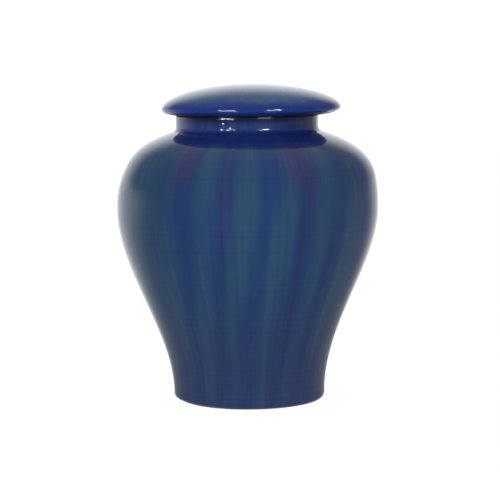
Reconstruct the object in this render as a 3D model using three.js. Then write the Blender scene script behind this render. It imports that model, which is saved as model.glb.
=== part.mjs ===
// Funeral urn of glazed stoneware with a loose domed lid.
// Millimetres, +Z up, the origin on the table at the middle of the foot ring.

import * as THREE from "three";

// Body, from the table up.
const footRadius = 60.6;
const footRounding = 5;
const footRingWidth = 9;
const recessDepth = 3;
const bellyRadius = 104.2;
const bellyHeight = 153.8;
const shoulderRise = 61.2;
const shoulderSlope = 18.5;
const neckRadius = 56.7;
const neckHeight = 12.2;
const neckFillet = 3;
const rimRounding = 1.5;

// Thickness of the clay.
const wall = 6;
const floorThickness = 8;
const floorCornerRadius = 10;

// Lid.
const lidRadius = 71.3;
const lidEdgeLift = 5.3;
const domeRise = 18.9;
const lidWall = 6;
const lidSlope = 9;
const flangeDepth = 9;
const flangeThickness = 4.5;
const flangeRounding = 1.2;

// Fits between the lid and the neck.
const seatGap = 0.3;
const seatMargin = 1.5;
const flangePlay = 3.8;
const flangeTouchGap = 0.4;

// How full the curves are, as shares of the height or width that each one spans.
const lowerSideFullness = 0.35;
const bellyFullness = 0.32;
const shoulderFullness = 0.66;
const shoulderEndFullness = 0.61;
const domeTopFullness = 0.614;
const domeEdgeFullness = 0.43;
const undersideFullness = 0.66;
const undersideEdgeFullness = 0.6;

// Facets around the urn, and along each curve of its outline.
const facetsAround = 52;
const stepsLong = 12;
const stepsInside = 8;
const stepsShort = 3;

const point = (radius, height) => new THREE.Vector2(radius, height);

// The share of a corner's side that makes a cubic curve follow a quarter circle.
const quarterRound = 0.5523;

// Points that round off a corner, from its start to its end.
function rounded(start, corner, end) {
  const curve = new THREE.CubicBezierCurve(
    start,
    start.clone().lerp(corner, quarterRound),
    end.clone().lerp(corner, quarterRound),
    end,
  );
  return curve.getPoints(stepsShort);
}

// Points set in from a curve by the clay's thickness, on the left of someone who walks along it.
function setIn(curve, thickness, steps) {
  return curve.getPoints(steps).map((place, index) => {
    const direction = curve.getTangent(index / steps);
    return point(place.x - direction.y * thickness, place.y + direction.x * thickness);
  });
}

// A closed solid turned about the upright axis from an outline that starts and ends on it.
function turned(outline) {
  const apart = outline.filter((place, index) => index === 0 || place.distanceTo(outline[index - 1]) > 0.01);
  const geometry = new THREE.LatheGeometry(apart, facetsAround);
  geometry.rotateX(Math.PI / 2);
  return geometry;
}

// The outside of the body: one curve from the foot to the belly, and one over the shoulder.
const side = new THREE.CubicBezierCurve(
  point(footRadius, footRounding),
  point(footRadius, footRounding + lowerSideFullness * (bellyHeight - footRounding)),
  point(bellyRadius, bellyHeight - bellyFullness * (bellyHeight - footRounding)),
  point(bellyRadius, bellyHeight),
);
const neckFoot = bellyHeight + shoulderRise;
const slope = THREE.MathUtils.degToRad(shoulderSlope);
const downTheShoulder = point(Math.cos(slope), -Math.sin(slope));
const neckCorner = point(neckRadius, neckFoot);
const shoulderTop = neckCorner.clone().addScaledVector(downTheShoulder, neckFillet);
const shoulderReach = shoulderEndFullness * (bellyRadius - neckRadius);
const shoulder = new THREE.CubicBezierCurve(
  point(bellyRadius, bellyHeight),
  point(bellyRadius, bellyHeight + shoulderFullness * shoulderRise),
  shoulderTop.clone().addScaledVector(downTheShoulder, shoulderReach),
  shoulderTop,
);

const neckTop = neckFoot + neckHeight;
const boreRadius = neckRadius - wall;
const floorTop = recessDepth + floorThickness;

// The body is one pot: foot ring, belly, shoulder and short upright neck, open at the top.
function bodyGeometry() {
  const ringOuter = footRadius - footRounding;
  const ringInner = ringOuter - footRingWidth;
  const cornerTop = floorTop + floorCornerRadius;
  const inside = [...setIn(side, wall, stepsInside), ...setIn(shoulder, wall, stepsInside)]
    .filter((place) => place.y > cornerTop && place.x > boreRadius)
    .reverse();
  const lowest = inside[inside.length - 1];
  const outline = [
    point(0, recessDepth),
    point(ringInner - recessDepth, recessDepth),
    point(ringInner, 0),
    ...rounded(point(ringOuter, 0), point(footRadius, 0), point(footRadius, footRounding)),
    ...side.getPoints(stepsLong),
    ...shoulder.getPoints(stepsLong),
    ...rounded(shoulderTop, neckCorner, point(neckRadius, neckFoot + neckFillet)),
    ...rounded(
      point(neckRadius, neckTop - rimRounding),
      point(neckRadius, neckTop),
      point(neckRadius - rimRounding, neckTop),
    ),
    ...rounded(
      point(boreRadius + rimRounding, neckTop),
      point(boreRadius, neckTop),
      point(boreRadius, neckTop - rimRounding),
    ),
    point(boreRadius, neckFoot - wall * Math.tan(slope)),
    ...inside,
    ...rounded(lowest, point(lowest.x, floorTop), point(lowest.x - floorCornerRadius, floorTop)),
    point(0, floorTop),
  ];
  return turned(outline);
}

// The lid: a hollow dome with a rounded edge, a flat seat and a flange that drops into the neck.
function lidGeometry() {
  const seat = neckTop + seatGap;
  const seatRadius = neckRadius + seatMargin;
  const flangeRadius = boreRadius - flangePlay;
  const flangeBore = flangeRadius - flangeThickness;
  const flangeFoot = seat - flangeDepth;
  const edge = seat + lidEdgeLift;
  const top = edge + domeRise;
  const under = THREE.MathUtils.degToRad(lidSlope);
  const underReach = undersideFullness * (lidRadius - seatRadius);
  const dome = new THREE.CubicBezierCurve(
    point(lidRadius, edge),
    point(lidRadius, edge + domeEdgeFullness * domeRise),
    point(domeTopFullness * lidRadius, top),
    point(0, top),
  );
  const underside = new THREE.CubicBezierCurve(
    point(seatRadius, seat),
    point(seatRadius + underReach * Math.cos(under), seat + underReach * Math.sin(under)),
    point(lidRadius, edge - undersideEdgeFullness * lidEdgeLift),
    point(lidRadius, edge),
  );
  const hollowRadius = lidRadius - 2 * lidWall;
  const hollowFloor = seat + lidWall;
  const ceiling = setIn(dome, lidWall, stepsInside)
    .filter((place) => place.x < hollowRadius && place.y > hollowFloor)
    .reverse();
  const ceilingEnd = ceiling[ceiling.length - 1];
  const outline = [
    ...ceiling,
    point(hollowRadius, (ceilingEnd.y + hollowFloor) / 2),
    point(ceilingEnd.x, hollowFloor),
    point(flangeBore, hollowFloor),
    point(flangeBore, flangeFoot + flangeRounding),
    point(flangeBore + flangeRounding, flangeFoot),
    point(flangeRadius - flangeRounding, flangeFoot),
    point(flangeRadius, flangeFoot + flangeRounding),
    point(flangeRadius, seat),
    ...underside.getPoints(stepsInside),
    ...dome.getPoints(stepsLong),
  ];
  return turned(outline);
}

function glaze(colour) {
  return new THREE.MeshStandardMaterial({ color: colour, roughness: 0.12, metalness: 0 });
}

const urnBody = new THREE.Mesh(bodyGeometry(), glaze(0x2c466c));
urnBody.name = "urn_body";

// The lid lies a little to one side, as far as the play of its flange in the neck lets it slide.
const lid = new THREE.Mesh(lidGeometry(), glaze(0x2a4070));
lid.name = "lid";
lid.position.x = flangePlay - flangeTouchGap;

const urn = new THREE.Group();
urn.add(urnBody, lid);

export default urn;
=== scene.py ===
# %% [markdown]
# # A glazed funeral urn
# The real urn is two pieces of fired clay: a pot with a narrow foot, a wide shoulder and a short
# neck, and a loose domed lid that overhangs the neck. A glossy cobalt glaze covers both, and it ran
# a little in the kiln, which left soft upright streaks of teal, violet and plum. Both pieces were
# turned on a wheel, so everything here starts from two outlines and a finish that knows which way
# is down.

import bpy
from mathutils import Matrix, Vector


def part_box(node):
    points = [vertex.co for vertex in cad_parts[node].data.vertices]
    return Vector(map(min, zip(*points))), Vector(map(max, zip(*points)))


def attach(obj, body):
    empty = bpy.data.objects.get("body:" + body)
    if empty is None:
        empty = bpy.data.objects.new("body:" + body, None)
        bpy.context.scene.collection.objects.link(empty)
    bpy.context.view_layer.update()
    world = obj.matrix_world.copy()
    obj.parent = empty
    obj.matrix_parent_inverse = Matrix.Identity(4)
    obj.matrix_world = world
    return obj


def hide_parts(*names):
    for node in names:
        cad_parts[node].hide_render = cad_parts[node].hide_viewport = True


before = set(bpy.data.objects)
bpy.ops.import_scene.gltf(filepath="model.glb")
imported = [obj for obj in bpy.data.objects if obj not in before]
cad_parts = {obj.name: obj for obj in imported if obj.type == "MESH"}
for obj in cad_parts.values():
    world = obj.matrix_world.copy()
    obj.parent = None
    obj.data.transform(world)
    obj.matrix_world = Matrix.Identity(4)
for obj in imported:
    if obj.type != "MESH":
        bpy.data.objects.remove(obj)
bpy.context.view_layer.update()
print("nodes:", sorted(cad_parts))

# %% [markdown]
# The solids are right in size but faceted. A mirror-like glaze shows every facet, so each solid
# gets a smooth twin, turned from the same outline in much finer steps. The sizes that the solids
# can tell, such as the widest radius or the height of the neck, are read from their boxes. The
# sizes of the curves between them are the maker's own, in metres.

# %% Sizes of the pot
from math import cos, pi, radians, sin, tan

import bpy
import numpy as np
from mathutils import Matrix, Vector

_, body_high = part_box("urn_body")

belly_radius = body_high.x
neck_top = body_high.z
foot_radius = 0.0606
foot_rounding = 0.005
foot_ring_width = 0.009
recess_depth = 0.003
belly_height = 0.1538
neck_height = 0.0122
neck_radius = 0.0567
neck_fillet = 0.003
rim_rounding = 0.0009
shoulder_slope = radians(18.5)
wall = 0.006
floor_top = 0.011
floor_corner = 0.010
print(f"pot: {1000 * belly_radius:.1f} mm radius, {1000 * neck_top:.1f} mm to the neck's rim")

# %% Sizes of the lid
lid_low, lid_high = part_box("lid")

lid_centre = (lid_low.x + lid_high.x) / 2
lid_radius = (lid_high.x - lid_low.x) / 2
lid_top = lid_high.z
flange_foot = lid_low.z
flange_depth = 0.009
lid_edge_lift = 0.0053
lid_wall = 0.006
lid_slope = radians(9)
seat_margin = 0.0015
flange_play = 0.0038
flange_thickness = 0.0045
flange_rounding = 0.0012
print(f"lid: {1000 * lid_radius:.1f} mm radius, {1000 * lid_centre:.1f} mm off the pot's axis")

# %% [markdown]
# An outline is a list of points, radius and height, walked with the clay on the left hand. Its
# curves are cubic ones with two handles each, like the ones a potter's profile template is drawn
# with. Rounded corners use the same curve, with the handle length that makes a quarter circle.

# %% Curves for the outlines
QUARTER_ROUND = 0.5523


def curve(start, start_handle, end_handle, end, steps):
    """Points of a cubic curve, with both ends."""
    a, b, c, d = (np.array(p, float) for p in (start, start_handle, end_handle, end))
    along = np.linspace(0, 1, steps + 1)[:, None]
    back = 1 - along
    return back**3 * a + 3 * back**2 * along * b + 3 * back * along**2 * c + along**3 * d


def rounded(start, corner, end, steps=8):
    """Points that round off a corner."""
    start, corner, end = (np.array(p, float) for p in (start, corner, end))
    first = start + QUARTER_ROUND * (corner - start)
    second = end + QUARTER_ROUND * (corner - end)
    return curve(start, first, second, end, steps)


# %% Flats, and lines set in by the clay's thickness
def straight(start, end, steps=12):
    """Points between two ends, crowded near both, so that a flat stays flat when it is shaded."""
    start, end = np.array(start), np.array(end)
    share = (1 - np.cos(pi * np.arange(1, steps) / steps)) / 2
    return start + share[:, None] * (end - start)


def set_in(points, thickness):
    """The same line moved to its left by the clay's thickness."""
    direction = np.gradient(points, axis=0)
    direction /= np.linalg.norm(direction, axis=1)[:, None]
    return points + thickness * np.stack([-direction[:, 1], direction[:, 0]], axis=1)


# %% [markdown]
# The side of the pot is two curves that meet at the belly. How full each one is, as a share of the
# height or width that it spans, was set against the photograph: the lower side swells late, and the
# shoulder stays round until close to the neck.

# %% Side and shoulder of the pot
lower_side_fullness = 0.35
belly_fullness = 0.32
shoulder_fullness = 0.66
shoulder_end_fullness = 0.61
SIDE_STEPS = 90

neck_foot = neck_top - neck_height
side_rise = belly_height - foot_rounding
side = curve(
    (foot_radius, foot_rounding),
    (foot_radius, foot_rounding + lower_side_fullness * side_rise),
    (belly_radius, belly_height - belly_fullness * side_rise),
    (belly_radius, belly_height),
    SIDE_STEPS,
)
downhill = np.array([cos(shoulder_slope), -sin(shoulder_slope)])
shoulder_top = np.array([neck_radius, neck_foot]) + neck_fillet * downhill
shoulder = curve(
    (belly_radius, belly_height),
    (belly_radius, belly_height + shoulder_fullness * (neck_foot - belly_height)),
    shoulder_top + shoulder_end_fullness * (belly_radius - neck_radius) * downhill,
    shoulder_top,
    SIDE_STEPS,
)
print(f"shoulder: {1000 * (neck_foot - belly_height):.1f} mm from the belly up to the neck")

# %% Outline of the pot
bore_radius = neck_radius - wall
inside = set_in(np.concatenate([side, shoulder[1:]]), wall)
above_the_floor = inside[:, 1] > floor_top + floor_corner
wider_than_the_neck = inside[:, 0] > bore_radius
# From the neck down, with half as many points as outside.
inside = inside[above_the_floor & wider_than_the_neck][::-2]
inner_foot = inside[-1][0]
wall_foot = (neck_radius, neck_foot + neck_fillet)
wall_head = (neck_radius, neck_top - rim_rounding)
bore_head = (bore_radius, neck_top - rim_rounding)
ring_outer = foot_radius - foot_rounding
ring_inner = ring_outer - foot_ring_width
pot_outline = np.concatenate([
    [(0, recess_depth), (ring_inner - recess_depth, recess_depth), (ring_inner, 0)],
    straight((ring_inner, 0), (ring_outer, 0)),
    rounded((ring_outer, 0), (foot_radius, 0), (foot_radius, foot_rounding)),
    side[1:],
    shoulder[1:],
    rounded(shoulder_top, (neck_radius, neck_foot), wall_foot)[1:],
    straight(wall_foot, wall_head),
    rounded(wall_head, (neck_radius, neck_top), (neck_radius - rim_rounding, neck_top)),
    rounded((bore_radius + rim_rounding, neck_top), (bore_radius, neck_top), bore_head),
    [(bore_radius, neck_foot - wall * tan(shoulder_slope))],
    inside,
    rounded(inside[-1], (inner_foot, floor_top), (inner_foot - floor_corner, floor_top))[1:],
    [(0, floor_top)],
])
print("points in the pot's outline:", len(pot_outline))

# %% [markdown]
# The lid is a shallow dome with a rounded edge. Its underside rises a little from the flat seat on
# the neck to that edge, and a flange under it drops into the neck and keeps the lid from sliding
# off. The inside of the dome is the dome's own line, set in by the thickness of the clay.

# %% Dome and underside of the lid
dome_edge_fullness = 0.43
dome_top_fullness = 0.614
underside_fullness = 0.66
underside_edge_fullness = 0.6
DOME_STEPS = 110
UNDERSIDE_STEPS = 40

seat = flange_foot + flange_depth
seat_radius = neck_radius + seat_margin
lid_edge = seat + lid_edge_lift
dome = curve(
    (lid_radius, lid_edge),
    (lid_radius, lid_edge + dome_edge_fullness * (lid_top - lid_edge)),
    (dome_top_fullness * lid_radius, lid_top),
    (0, lid_top),
    DOME_STEPS,
)
under_reach = underside_fullness * (lid_radius - seat_radius)
underside = curve(
    (seat_radius, seat),
    (seat_radius + under_reach * cos(lid_slope), seat + under_reach * sin(lid_slope)),
    (lid_radius, lid_edge - underside_edge_fullness * lid_edge_lift),
    (lid_radius, lid_edge),
    UNDERSIDE_STEPS,
)
print(f"dome: {1000 * (lid_top - lid_edge):.1f} mm above its edge")

# %% Outline of the lid
FLANGE_STEPS = 4

flange_radius = bore_radius - flange_play
flange_bore = flange_radius - flange_thickness
flange_tip = flange_foot + flange_rounding
hollow_radius = lid_radius - 2 * lid_wall
hollow_floor = seat + lid_wall
ceiling = set_in(dome, lid_wall)
ceiling[-1] = (0, lid_top - lid_wall)
in_the_hollow = (ceiling[:, 0] < hollow_radius) & (ceiling[:, 1] > hollow_floor)
# From the axis outwards, with a third as many points as on top.
ceiling = ceiling[in_the_hollow][::-3]
ceiling_end = ceiling[-1]
lid_outline = np.concatenate([
    ceiling,
    [(hollow_radius, (ceiling_end[1] + hollow_floor) / 2)],
    [(ceiling_end[0], hollow_floor), (flange_bore, hollow_floor)],
    rounded(
        (flange_bore, flange_tip),
        (flange_bore, flange_foot),
        (flange_bore + flange_rounding, flange_foot),
        FLANGE_STEPS,
    ),
    rounded(
        (flange_radius - flange_rounding, flange_foot),
        (flange_radius, flange_foot),
        (flange_radius, flange_tip),
        FLANGE_STEPS,
    ),
    [(flange_radius, seat)],
    underside,
    dome[1:],
])
print("points in the lid's outline:", len(lid_outline))

# %% [markdown]
# A lathe could be a screw modifier on a curve. Here the rings are written straight into a mesh,
# because then every ring can also be pushed a little out of true. Where the outline meets the axis
# the mesh closes in a fan. Edges sharper than a crease are left sharp, the rest is shaded smooth.

# %% Turn an outline into a mesh
AROUND = 256
CREASE = radians(35)
ON_THE_AXIS = 1e-6


def turned(name, outline, centre, out_of_true):
    """A closed mesh turned about an upright axis."""
    angles = np.arange(AROUND) * 2 * pi / AROUND
    vertices = []
    rings = []
    for radius, height in outline:
        if radius < ON_THE_AXIS:
            rings.append([len(vertices)] * AROUND)
            vertices.append((centre, 0.0, height))
            continue
        squeeze, shift, drop = out_of_true(radius, height, angles)
        rings.append(list(range(len(vertices), len(vertices) + AROUND)))
        across = centre + shift + (radius - squeeze) * np.cos(angles)
        deep = (radius - squeeze) * np.sin(angles)
        up = height - drop * np.ones(AROUND)
        vertices += list(zip(across, deep, up))
    faces = []
    for low, high in zip(rings, rings[1:]):
        for here in range(AROUND):
            there = (here + 1) % AROUND
            corners = [low[here], low[there], high[there], high[here]]
            faces.append([c for i, c in enumerate(corners) if c not in corners[:i]])
    mesh = bpy.data.meshes.new(name)
    mesh.from_pydata(vertices, [], faces)
    mesh.validate()
    mesh.shade_smooth()
    mesh.set_sharp_from_angle(angle=CREASE)
    piece = bpy.data.objects.new(name, mesh)
    bpy.context.scene.collection.objects.link(piece)
    print(name, "has", len(vertices), "points and", len(faces), "faces")
    return piece


# %% [markdown]
# No hand-turned pot is perfectly round. This one leans to the right at the shoulder and to the left
# below the belly, it keeps faint finger rings from the wheel, and the left corner of its foot was
# trimmed rounder than the right one. All of these stay below two and a half millimetres.

# %% How the pot is out of true
SHOULDER_LEAN = dict(middle=0.188, spread=0.016)
SHOULDER_SHIFT = 0.0014
WAIST_LEAN = dict(middle=0.080, spread=0.050)
WAIST_SHIFT = 0.0011
FOOT_CORNER = dict(middle=0.0, spread=0.002)
FOOT_TRIM = 0.003
POT_OVAL = 0.0002
OVAL_TURN = 0.7
OVAL_TWIST = 6
RING_DEPTH = 0.00002
RING_PITCH = 0.0031
RING_WANDER = 2
RING_WANDER_RATE = 90


def bulge(height, middle, spread):
    """A smooth swelling along the height, 1 at its middle and 0 far from it."""
    return np.exp(-(((height - middle) / spread) ** 2))


def pot_out_of_true(radius, height, angles):
    """How far a ring of the pot is drawn in, moved to the side and let down."""
    lean = SHOULDER_SHIFT * bulge(height, **SHOULDER_LEAN) - WAIST_SHIFT * bulge(height, **WAIST_LEAN)
    oval = POT_OVAL * (1 + np.cos(2 * angles + OVAL_TURN + OVAL_TWIST * height))
    ring_turn = 2 * pi * height / RING_PITCH + RING_WANDER * np.sin(height * RING_WANDER_RATE)
    finger_rings = RING_DEPTH * (1 + np.sin(ring_turn))
    towards_the_rim = max(0.0, (radius - ring_inner) / (foot_radius - ring_inner))
    on_the_left = (1 - np.cos(angles)) / 2
    trimmed = FOOT_TRIM * bulge(height, **FOOT_CORNER) * towards_the_rim * on_the_left
    return oval + finger_rings + trimmed, lean, 0.0


pot = turned("glazed_pot", pot_outline, 0.0, pot_out_of_true)

# %% [markdown]
# The lid warped in the kiln. Its rim dips at the front left, where it sags most, and stands a little
# high at the right. The warp grows towards the rim, so that the seat still lies on the neck.

# %% How the lid is out of true
LID_OVAL = 0.00015
LID_OVAL_TURN = 0.9
LID_DIP = 0.00035
HIGHEST_AT = pi / 4
LID_LIFT = 0.0006


def lid_out_of_true(radius, height, angles):
    """How far a ring of the lid is drawn in, moved to the side and let down."""
    share = radius / lid_radius
    oval = LID_OVAL * share * (1 + np.cos(2 * angles - LID_OVAL_TURN))
    dip = LID_DIP * share**3 * (1 - np.cos(angles - HIGHEST_AT))
    lift = LID_LIFT * share**6 * (1 + np.cos(angles)) / 2
    return oval, 0.0, dip - lift


lid = turned("glazed_lid", lid_outline, lid_centre, lid_out_of_true)

# %% Put both pieces in place of their solids
for piece, node, slot in ((pot, "urn_body", "glaze_body"), (lid, "lid", "glaze_lid")):
    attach(piece, "root")
    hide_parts(node)
    print(piece.name, "stands in for", node)

# %% [markdown]
# A material is a small program made of nodes, and long sums are hard to read as boxes and wires.
# The class below wraps one socket, so that a sum such as `1 - mask * 0.5` writes its Math nodes by
# itself. Every other kind of node comes from its method `node`, which takes the node's type, its
# settings and then what goes into its sockets.

# %% Write shader maths as Python
class Wire:
    """One socket of a node tree, used in sums like a number."""

    def __init__(self, tree, socket=None):
        self.tree = tree
        self.socket = socket

    def node(self, kind, settings, sockets, output=0):
        """Adds a node: its settings first, then the values or links of its sockets."""
        made = self.tree.nodes.new(kind)
        for name, value in settings.items():
            setattr(made, name, value)
        for name, value in sockets.items():
            if isinstance(value, Wire):
                self.tree.links.new(value.socket, made.inputs[name])
            else:
                made.inputs[name].default_value = value
        return Wire(self.tree, made.outputs[output] if made.outputs else None)

    def maths(self, operation, *values):
        return self.node("ShaderNodeMath", {"operation": operation}, dict(enumerate(values)))

    def __add__(self, other):
        return self.maths("ADD", self, other)

    def __sub__(self, other):
        return self.maths("SUBTRACT", self, other)

    def __mul__(self, other):
        return self.maths("MULTIPLY", self, other)

    def __truediv__(self, other):
        return self.maths("DIVIDE", self, other)

    def __pow__(self, other):
        return self.maths("POWER", self, other)

    def __radd__(self, other):
        return self.maths("ADD", other, self)

    def __rsub__(self, other):
        return self.maths("SUBTRACT", other, self)

    def __rmul__(self, other):
        return self.maths("MULTIPLY", other, self)

    def __rtruediv__(self, other):
        return self.maths("DIVIDE", other, self)

    def step(self, low, high):
        """0 below low, 1 above high and a smooth change between. It also runs downhill."""
        settings = {"interpolation_type": "SMOOTHSTEP"}
        sockets = {"Value": self, "From Min": low, "From Max": high}
        return self.node("ShaderNodeMapRange", settings, sockets)

    def blend(self, first, second):
        """The first colour where this is 0 and the second where it is 1."""
        settings = {"data_type": "RGBA"}
        return self.node("ShaderNodeMix", settings, {0: self, 6: first, 7: second}, 2)

    def parts(self):
        """The X, Y and Z of a vector."""
        split = self.node("ShaderNodeSeparateXYZ", {}, {"Vector": self})
        outputs = split.socket.node.outputs
        return [Wire(self.tree, outputs[axis]) for axis in "XYZ"]


def emptied(holder):
    """The node tree of a material or a world, cleared of what Blender put in it."""
    holder.use_nodes = True
    holder.node_tree.nodes.clear()
    return holder.node_tree


# %% [markdown]
# Cobalt glaze is never one blue. Where it lies thick it is deep and pure, where it ran thin over
# the clay it turns teal, and between two runs it can go violet or plum. On the upright neck it is
# steel blue. The colours below are the shares of red, green and blue light that the fired glaze
# sends back from under its gloss, except the near-black blue, which is painted shade for the
# places under the lid and on the neck's right.

# %% Colours of the glaze
def colour(red, green, blue):
    """An opaque colour, as shares of the light that it sends back."""
    return (red, green, blue, 1.0)


COBALT = colour(0.021, 0.080, 0.285)
DEEP_COBALT = colour(0.030, 0.064, 0.375)
LID_COBALT = colour(0.016, 0.066, 0.430)
LID_TEAL = colour(0.052, 0.205, 0.415)
TEAL = colour(0.044, 0.136, 0.274)
SEA_TEAL = colour(0.034, 0.140, 0.250)
VIOLET = colour(0.038, 0.074, 0.260)
PLUM = colour(0.076, 0.064, 0.255)
DUSK = colour(0.048, 0.074, 0.205)
STEEL_BLUE = colour(0.044, 0.125, 0.400)
# Painted shade, not a glaze colour: near-black blue laid where the lid shades the neck and its own seat,
# and on the neck's right.
PAINTED_SHADE_BLUE = colour(0.003, 0.008, 0.060)
BARE_CLAY = colour(0.42, 0.33, 0.25)

# %% [markdown]
# The runs of glaze go down the outside, so their colour depends on two things: how far round the
# pot a point is, and how high it is. The way round is kept as a direction for the noise textures,
# so that nothing shows a seam at the back. On the lid the runs would all meet in a star at the
# middle, so inside a given radius they melt together. Noise lies round one half, so one half is
# taken off where it has to go both ways.

# %% Where a point lies on a turned piece
class Glaze(Wire):
    """A new material on a turned piece, and what its colour is worked out from."""

    def __init__(self, name, ground_coat, centre, crown):
        self.material = bpy.data.materials.new(name)
        super().__init__(emptied(self.material))
        self.skin = ground_coat
        self.place = self.node("ShaderNodeTexCoord", {}, {}, "Object")
        across, deep, self.height = self.place.parts()
        across = across - centre
        self.around = self.maths("ARCTAN2", across, deep * -1.0)
        distance = (across * across + deep * deep + crown * crown) ** 0.5
        self.side_x = across / distance
        self.side_y = deep / distance

    def noise(self, scale, detail):
        """Noise that is the same size in every direction."""
        return self.node("ShaderNodeTexNoise", {}, {"Vector": self.place, "Scale": scale, "Detail": detail})

    def running_noise(self, fineness, upright, detail, seed):
        """Noise that is drawn out down the pot: `upright` is how fast it changes with height."""
        where = self.node("ShaderNodeCombineXYZ", {}, {
            "X": self.side_x * fineness + seed,
            "Y": self.side_y * fineness,
            "Z": self.height * upright,
        })
        return self.node("ShaderNodeTexNoise", {}, {"Vector": where, "Scale": 1.0, "Detail": detail})

    def brush(self, paint, share):
        """Lays a colour over those that are there, as thickly as the share says."""
        self.skin = share.blend(self.skin, paint)


# %% [markdown]
# Under the gloss the colour varies a little everywhere: soft clouds, faint upright marks of the
# brush, and level ones of the potter's fingers. Only the ring that the pot stands on was wiped
# clean before firing and shows bare, rough clay. A Principled shader does all of it in one layer:
# glaze is colour under clear glass, and that is what its base colour and its gloss stand for.

# %% Fire a glaze
WIPED_HEIGHTS = (0.0003, 0.0001)
EVEN_SHADE, CLOUDS, BRUSH_MARKS, FINGER_MARKS = 0.93, 0.14, 0.55, 0.25
GLOSSY, CLOUDY, ROUGH_CLAY, DULL_GLAZE = 0.05, 0.03, 0.75, 0.45
DIMPLES = 0.6
RELIEF = {"Strength": 0.25, "Distance": 0.0002}
GLAZE_IOR = 1.5


def fire(glaze, lumps, dull):
    """Puts the colour under a clear gloss, and leaves the clay bare where the piece stands."""
    wiped = glaze.height.step(*WIPED_HEIGHTS)
    cloud = glaze.noise(scale=140.0, detail=3.0)
    brushed = glaze.running_noise(fineness=30.0, upright=6.0, detail=3.0, seed=51.0) - 0.5
    thrown = glaze.running_noise(fineness=0.0, upright=420.0, detail=2.0, seed=71.0) - 0.5
    shade = EVEN_SHADE + CLOUDS * cloud + BRUSH_MARKS * brushed + FINGER_MARKS * thrown
    skin = glaze.node("ShaderNodeVectorMath", {"operation": "SCALE"}, {0: glaze.skin, "Scale": shade})
    dimples = glaze.noise(scale=55.0, detail=2.0) * (1.0 - wiped) * DIMPLES
    grit = glaze.noise(scale=2600.0, detail=4.0) * wiped
    bump = {**RELIEF, "Height": dimples + grit + lumps}
    shader = glaze.node("ShaderNodeBsdfPrincipled", {}, {
        "Base Color": wiped.blend(skin, BARE_CLAY),
        "Roughness": GLOSSY + CLOUDY * cloud + ROUGH_CLAY * wiped + DULL_GLAZE * dull,
        "IOR": GLAZE_IOR,
        "Normal": glaze.node("ShaderNodeBump", {}, bump),
    })
    glaze.node("ShaderNodeOutputMaterial", {}, {"Surface": shader})
    print(glaze.material.name, "has", len(glaze.tree.nodes), "nodes")
    return glaze.material


# %% [markdown]
# On the pot the runs stand eighteen degrees apart. They drift to the left on their way down, as if
# the pot had been turned a little while the glaze was soft, and they wander. Each run is a wave
# round the pot, wide where the glaze is thin, and broken up into fine upright hairs. Heights are in
# metres, and each pair of edges says where a smooth step starts and where it ends.

# %% Teal runs down the pot
RUNS = 20
RUNS_START, RUNS_LENGTH = 0.192, 0.152
DRIFT, STEADY_DRIFT, LATE_DRIFT = radians(9), 0.75, 0.25
WIDE_WANDER, SMALL_WANDER = 3.2, 1.4
THIN_EDGES = (0.25, 0.70)
RUN_WAVE, RUN_EDGES = 0.8, (-0.9, 1.15)
THICK_TEAL, THIN_TEAL, HAIR_TEAL = 0.45, 0.45, 0.70

pot_glaze = Glaze("running_cobalt_glaze", COBALT, centre=0.0, crown=0.0)
down = (RUNS_START - pot_glaze.height) / RUNS_LENGTH
wide = pot_glaze.running_noise(fineness=1.3, upright=7.0, detail=1.0, seed=3.0) - 0.5
small = pot_glaze.running_noise(fineness=6.0, upright=24.0, detail=2.0, seed=43.0) - 0.5
drift = DRIFT * (STEADY_DRIFT * down + LATE_DRIFT * down * down * down)
turn = RUNS * (pot_glaze.around + drift) + wide * WIDE_WANDER + small * SMALL_WANDER
thin = pot_glaze.running_noise(fineness=3.4, upright=9.0, detail=2.0, seed=11.0).step(*THIN_EDGES)
run = (pot_glaze.maths("COSINE", turn) * RUN_WAVE + thin - 0.5).step(*RUN_EDGES)
hairs = pot_glaze.running_noise(fineness=24.0, upright=5.0, detail=3.0, seed=23.0) - 0.5
pot_glaze.brush(TEAL, run * (THICK_TEAL + THIN_TEAL * thin) + HAIR_TEAL * hairs)
print(f"runs: one every {360 / RUNS:.0f} degrees, {len(pot_glaze.tree.nodes)} nodes so far")

# %% [markdown]
# Every second gap between two runs holds a thin violet line. One broad run of sea teal went down
# the left side. Above the foot all runs fade into a dusky blue, and both there and at the top of
# the shoulder some patches went plum.

# %% Violet lines, the broad run, dusk and plum
VIOLET_EDGES, VIOLET_BREAKS, VIOLET_SHARE = (0.72, 1.0), (0.35, 0.60), 0.9
BROAD_EDGES, BROAD_SHARE = (-0.50, -0.85), 0.65
FADE_EDGES, DUSK_SHARE = (0.55, 1.15), 0.45
SHOULDER_EDGES = (0.25, 0.00)
PLUM_EDGES, PLUM_SHARE = (0.54, 0.74), 0.65

gap = (pot_glaze.maths("SINE", turn * 0.5) * -1.0).step(*VIOLET_EDGES)
breaks = pot_glaze.running_noise(fineness=5.0, upright=4.0, detail=1.0, seed=37.0).step(*VIOLET_BREAKS)
pot_glaze.brush(VIOLET, gap * breaks * VIOLET_SHARE)
faded = down.step(*FADE_EDGES)
pot_glaze.brush(SEA_TEAL, pot_glaze.side_x.step(*BROAD_EDGES) * (1.0 - faded) * BROAD_SHARE)
pot_glaze.brush(DUSK, faded * DUSK_SHARE)
ends = pot_glaze.maths("MAXIMUM", down.step(*SHOULDER_EDGES), faded)
patches = pot_glaze.running_noise(fineness=4.0, upright=8.0, detail=2.0, seed=83.0).step(*PLUM_EDGES)
pot_glaze.brush(PLUM, patches * ends * PLUM_SHARE)
print("nodes with violet, sea teal, dusk and plum:", len(pot_glaze.tree.nodes))
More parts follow.
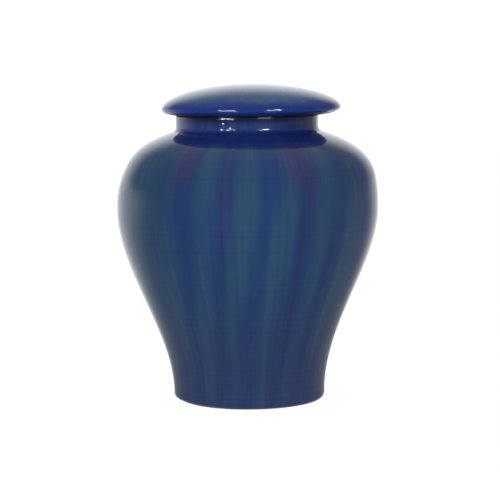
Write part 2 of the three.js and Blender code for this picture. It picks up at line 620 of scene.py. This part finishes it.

# %% [markdown]
# Round the foot of the neck the glaze lies thick and is a deep blue without runs. The neck's wall
# has streaks of steel blue. Under the lid and on the neck's right the shade is painted into the
# colour as a near-black blue, and close under the lid the glaze is also dull, so that the gap
# between lid and pot is dark.

# %% Glaze of the neck
DEEP_HEIGHTS = (0.2035, 0.2095)
WALL_FOOT = neck_foot + neck_fillet
WALL_HEIGHTS = (WALL_FOOT - 0.001, WALL_FOOT)
STEEL_EDGES, STEEL_SHARE = (0.42, 0.60), 0.8
# Heights and shares of the painted shade: the lid's shadow on the top of the neck, and the darker right
# side.
LID_SHADOW_HEIGHTS, LID_SHADOW_SHARE = (neck_top - 0.007, neck_top - 0.0015), 0.93
RIGHT_SHADE_EDGES, RIGHT_SHADE_SHARE = (0.35, 0.75), 0.6
DULL_HEIGHTS = (neck_top - 0.0008, neck_top - 0.0002)

pot_glaze.brush(DEEP_COBALT, pot_glaze.height.step(*DEEP_HEIGHTS))
on_the_neck = pot_glaze.height.step(*WALL_HEIGHTS)
steel = pot_glaze.running_noise(fineness=9.0, upright=5.0, detail=3.0, seed=61.0).step(*STEEL_EDGES)
pot_glaze.brush(STEEL_BLUE, on_the_neck * steel * STEEL_SHARE)
# Painted shadow of the lid on the top of the neck, and painted shade on the neck's right side.
painted_lid_shadow = pot_glaze.height.step(*LID_SHADOW_HEIGHTS) * LID_SHADOW_SHARE
painted_right_shade = on_the_neck * pot_glaze.side_x.step(*RIGHT_SHADE_EDGES) * RIGHT_SHADE_SHARE
pot_glaze.brush(PAINTED_SHADE_BLUE, pot_glaze.maths("MAXIMUM", painted_lid_shadow, painted_right_shade))
print(f"neck: its wall is glazed from {1000 * WALL_FOOT:.1f} mm up to {1000 * neck_top:.1f} mm")

# %% [markdown]
# The potter's fingers left the neck lumpy, and at its left front there is a patch of fine ridges.
# They are far too low to change the outline, so they are bump only, and they break the reflection
# of a lamp into a column of small sparkles.

# %% Lumps and ridges on the neck, and the finished glaze
LUMPS = 0.7
PATCH_LEFT, PATCH_RIGHT = (-0.55, -0.42), (-0.12, -0.22)
RIDGES = 0.9

rough_patch = pot_glaze.side_x.step(*PATCH_LEFT) * pot_glaze.side_x.step(*PATCH_RIGHT)
ridges = pot_glaze.running_noise(fineness=24.0, upright=1500.0, detail=1.0, seed=97.0)
lumps = pot_glaze.noise(scale=420.0, detail=2.0) * LUMPS + ridges * rough_patch * RIDGES
seat_dull = pot_glaze.height.step(*DULL_HEIGHTS)
pot.data.materials.append(fire(pot_glaze, on_the_neck * lumps, seat_dull))

# %% [markdown]
# The lid was dipped upside down. Its rim took the thickest coat and is the purest blue, and the
# crown, where the glaze ran off, is more teal, with a ragged border and a few violet patches. The
# flange and the seat lie in the dark under the lid: their glaze is dull, and their shade is painted
# into the colour as a near-black blue.

# %% Glaze of the lid
CROWN_RADIUS = 0.045
CROWN_HEIGHTS = (lid_edge + 0.0035, lid_edge + 0.0080)
RAGGED = 0.006
CROWN_TEAL, PATCH_TEAL = 0.35, 0.9
LID_VIOLET_EDGES, LID_VIOLET_SHARE = (0.52, 0.72), 0.6
SEAT_SHADE_HEIGHTS, SEAT_SHADE_SHARE = (seat + 0.0035, seat + 0.0010), 0.9

lid_glaze = Glaze("lid_cobalt_glaze", LID_COBALT, lid_centre, CROWN_RADIUS)
patches = lid_glaze.running_noise(fineness=2.2, upright=12.0, detail=2.0, seed=5.0)
fringe = lid_glaze.running_noise(fineness=9.0, upright=12.0, detail=2.0, seed=29.0) + patches - 1.0
crown = (lid_glaze.height + RAGGED * fringe).step(*CROWN_HEIGHTS)
lid_glaze.brush(LID_TEAL, crown * (CROWN_TEAL + PATCH_TEAL * patches))
violet = lid_glaze.running_noise(fineness=3.0, upright=5.0, detail=1.0, seed=17.0)
lid_glaze.brush(VIOLET, violet.step(*LID_VIOLET_EDGES) * LID_VIOLET_SHARE)
# Painted shade on the seat and the flange in the dark under the lid; the same mask also dulls the glaze
# there.
seat_shade_and_dull = lid_glaze.height.step(*SEAT_SHADE_HEIGHTS)
lid_glaze.brush(PAINTED_SHADE_BLUE, seat_shade_and_dull * SEAT_SHADE_SHARE)
lid.data.materials.append(fire(lid_glaze, 0.0, seat_shade_and_dull))

# %% [markdown]
# The glaze is a mirror, so most of what the eye reads as finish is the room in it. The room is a
# dim tent with one bright thing in it: a white cloth that hangs behind the urn and runs out along
# the table on both sides, further on the left. The tent itself is a little lighter overhead and
# towards the back, though its back wall takes most of that away again above the table. All this is
# worked out from the direction of a ray, so that the world and the floor can use the same sum.

# %% Light in the room
TENT_LIGHT, CLOTH_LIGHT, CLOTH_TOP_LIGHT = 0.22, 1.10, 0.15
HANGING_EDGE, HANGING_TAPER, HANGING_MIDDLE = 0.47, 0.6, 1.05
HANGING_TOP = (0.80, 0.30)
HANGING_LEFTWARD, LYING_LEFTWARD = 0.08, 0.25
LYING_BACK, LYING_RISE, LYING_HEIGHTS = (0.20, 0.95), 0.14, (0.12, -0.09)
CLOTH_TOP_HEIGHTS = (0.04, 0.15)
TENT_BACK, TENT_BACK_LIGHTER = (-0.60, 0.30), 0.13
CEILING_HEIGHTS, CEILING_LIGHTER = (0.50, 0.92), 0.10
BACK_WALL, BACK_WALL_FOOT, BACK_WALL_TOP = (-0.30, 0.20), (-0.02, 0.12), (0.80, 0.60)
BACK_WALL_DARKER = 0.08


def hanging_cloth(to_right, to_back, up, above):
    """Where the cloth behind the urn is: widest at the table, narrower above, and gone overhead."""
    edge = HANGING_EDGE + HANGING_TAPER * above
    behind = to_back / (1.0 - up * up) ** 0.5 - HANGING_LEFTWARD * to_right
    return ((behind - edge) / (HANGING_MIDDLE - edge)).step(0.0, 1.0) * above.step(*HANGING_TOP)


def lying_cloth(to_right, to_back, up):
    """Where the cloth on the table is: it reaches further and higher on the left."""
    runs_back = (to_back - LYING_LEFTWARD * to_right).step(*LYING_BACK)
    return runs_back * (up + LYING_RISE * to_right).step(*LYING_HEIGHTS)


def room_light(to_right, to_back, up):
    """How bright the room is in a direction, given by its three parts."""
    above = up.maths("MAXIMUM", up, 0.0)
    hanging = hanging_cloth(to_right, to_back, up, above)
    cloth = 1.0 - (1.0 - hanging) * (1.0 - lying_cloth(to_right, to_back, up))
    back_wall = to_back.step(*BACK_WALL) * up.step(*BACK_WALL_FOOT) * up.step(*BACK_WALL_TOP)
    tent_light = TENT_LIGHT + TENT_BACK_LIGHTER * to_back.step(*TENT_BACK)
    tent_light = tent_light + CEILING_LIGHTER * up.step(*CEILING_HEIGHTS) - BACK_WALL_DARKER * back_wall
    cloth_light = CLOTH_LIGHT + CLOTH_TOP_LIGHT * above.step(*CLOTH_TOP_HEIGHTS)
    return tent_light + (cloth_light - tent_light) * cloth


# %% [markdown]
# The world is that room for every ray that a surface sends out. What the lens sees directly is
# plain white, as in the photograph, and a Light Path node tells the two apart.

# %% World
BACKDROP_WHITE = 1.05
WHITE = colour(1, 1, 1)

world = bpy.data.worlds.new("light_tent")
bpy.context.scene.world = world
tent = Wire(emptied(world))
looking = tent.node("ShaderNodeTexCoord", {}, {}, "Generated")
room = room_light(*looking.parts())
seen = tent.node("ShaderNodeLightPath", {}, {}, "Is Camera Ray")
room = room + seen * (BACKDROP_WHITE - room)
backdrop = tent.node("ShaderNodeBackground", {}, {"Color": WHITE, "Strength": room})
tent.node("ShaderNodeOutputWorld", {}, {"Surface": backdrop})
print("nodes in the world:", len(tent.tree.nodes))

# %% [markdown]
# The glaze mirrors the floor too, so the floor has to run into the world at the horizon without a
# line across the glaze. It glows with the light that the room has in the direction from half the
# urn's height to each spot. Near the urn that direction counts for less, so that the cloth ends
# there and the floor is as dim as the tent. The lens sees the floor nearly white, with only a
# breath of shadow under the foot.

# %% Floor
FLOOR_SIZE = 8
NEAR_FLOOR = 0.30
HALF_HEIGHT = 0.12
FLOOR_GLOW = 0.95
FLOOR_GREY = colour(0.15, 0.15, 0.15)

bpy.ops.mesh.primitive_plane_add(size=FLOOR_SIZE, location=(0, 0, 0))
floor = bpy.context.object
floor.name = "studio_floor"
floor_paint = bpy.data.materials.new("pale_floor")
ground = Wire(emptied(floor_paint))
spot = ground.node("ShaderNodeTexCoord", {}, {}, "Object")
right, back, _ = spot.parts()
reach = (right * right + back * back + NEAR_FLOOR**2) ** 0.5
mirrored = room_light(right / reach, back / reach, -HALF_HEIGHT / reach)
seen = ground.node("ShaderNodeLightPath", {}, {}, "Is Camera Ray")
shaded = ground.node("ShaderNodeBsdfDiffuse", {}, {"Color": FLOOR_GREY})
glow = ground.node("ShaderNodeEmission", {}, {"Color": WHITE, "Strength": FLOOR_GLOW})
pale = ground.node("ShaderNodeAddShader", {}, {0: shaded, 1: glow})
cloth_glow = ground.node("ShaderNodeEmission", {}, {"Color": WHITE, "Strength": mirrored})
either = ground.node("ShaderNodeMixShader", {}, {0: seen, 1: cloth_glow, 2: pale})
ground.node("ShaderNodeOutputMaterial", {}, {"Surface": either})
floor.data.materials.append(floor_paint)
print("nodes in the floor:", len(ground.tree.nodes))


# %% [markdown]
# Two kinds of lamp stand in front. A key close by gives the glaze its colour, and is kept out of
# its mirror. Two strip lamps further off do the opposite: they are there only for the bright dashes
# that they leave on the lid's rim and on the neck.

# %% Lamps
def around_the_urn(azimuth, elevation, distance, target):
    """A place and a facing about the urn: azimuth 0 is the camera's side, + is to its right."""
    turned_by = radians(azimuth)
    rise = radians(elevation)
    away = Vector((sin(turned_by) * cos(rise), -cos(turned_by) * cos(rise), sin(rise)))
    facing = away.to_track_quat("Z", "Y").to_euler()
    return Vector(target) + distance * away, facing


def softbox(name, place, width, height, radiance, in_the_mirror):
    """A rectangular lamp that either lights the urn's colour or shows in its gloss."""
    lamp = bpy.data.lights.new(name, "AREA")
    lamp.shape = "RECTANGLE"
    lamp.size = width
    lamp.size_y = height
    lamp.energy = radiance * width * height * pi
    holder = bpy.data.objects.new(name, lamp)
    bpy.context.scene.collection.objects.link(holder)
    holder.location, holder.rotation_euler = place
    holder.visible_camera = False
    holder.visible_glossy = in_the_mirror
    holder.visible_diffuse = not in_the_mirror
    print(f"{name}: {lamp.energy:.2f} W")


KEY_TARGET = (0, 0, 0.11)
key_place = around_the_urn(azimuth=-3, elevation=6, distance=0.55, target=KEY_TARGET)
softbox("key", key_place, width=0.35, height=0.25, radiance=2.5, in_the_mirror=False)

LID_RIM = (lid_centre, 0.0, lid_edge)
for name, azimuth, width in (("left_strip", -30, 0.45), ("right_strip", 28, 0.36)):
    strip_place = around_the_urn(azimuth, elevation=5, distance=1.1, target=LID_RIM)
    softbox(name, strip_place, width, height=0.05, radiance=120, in_the_mirror=True)

# %% [markdown]
# The strip lamps would also show on the broad shoulder. A photographer hangs up a small card, a
# flag, to keep a lamp off a part of the subject. Here one card of tent cloth hangs between each
# strip lamp and the shoulder, so that this part of the urn mirrors nothing but the tent.

# %% Cards
CARD_SIZE = (0.17, 0.042, 1)
CARD_TARGET = (0, 0, 0.190)

tent_cloth = bpy.data.materials.new("tent_cloth")
dim = Wire(emptied(tent_cloth))
dim_glow = dim.node("ShaderNodeEmission", {}, {"Color": WHITE, "Strength": TENT_LIGHT})
dim.node("ShaderNodeOutputMaterial", {}, {"Surface": dim_glow})
for name, azimuth in (("left_card", -27), ("right_card", 26)):
    bpy.ops.mesh.primitive_plane_add(size=1)
    card = bpy.context.object
    card.name = name
    card.scale = CARD_SIZE
    card_place = around_the_urn(azimuth, elevation=3, distance=0.345, target=CARD_TARGET)
    card.location, card.rotation_euler = card_place
    card.visible_camera = False
    card.data.materials.append(tent_cloth)
    print(name, "hangs at", [round(x, 3) for x in card.location])

# %% [markdown]
# The camera stands where the photograph was taken from: a metre and a half away and only a little
# above the lid, tipped down by about six degrees. Its lens is worked out from the scale of the
# picture at the urn's axis, and it is rolled by half a degree, as the photograph is.

# %% Camera
PHOTO_WIDTH = 500
METRES_PER_PIXEL = 0.0008
SENSOR_WIDTH = 36.0
camera_distance = 1.56
camera_pitch = radians(5.9)
camera_roll = radians(-0.56)
aim = Vector((0.0014, 0.0, 0.1192))

lens_pixels = camera_distance / cos(camera_pitch) / METRES_PER_PIXEL
camera_data = bpy.data.cameras.new("camera")
camera_data.sensor_width = SENSOR_WIDTH
camera_data.lens = lens_pixels * SENSOR_WIDTH / PHOTO_WIDTH
camera = bpy.data.objects.new("camera", camera_data)
bpy.context.scene.collection.objects.link(camera)
camera.location = aim + Vector((0, -camera_distance, camera_distance * tan(camera_pitch)))
tipped = Matrix.Rotation(pi / 2 - camera_pitch, 3, "X") @ Matrix.Rotation(camera_roll, 3, "Z")
camera.rotation_euler = tipped.to_euler()
bpy.context.scene.camera = camera
bpy.context.scene.view_settings.view_transform = "Standard"
print(f"lens {camera_data.lens:.0f} mm, camera {1000 * camera.location.z:.0f} mm above the table")
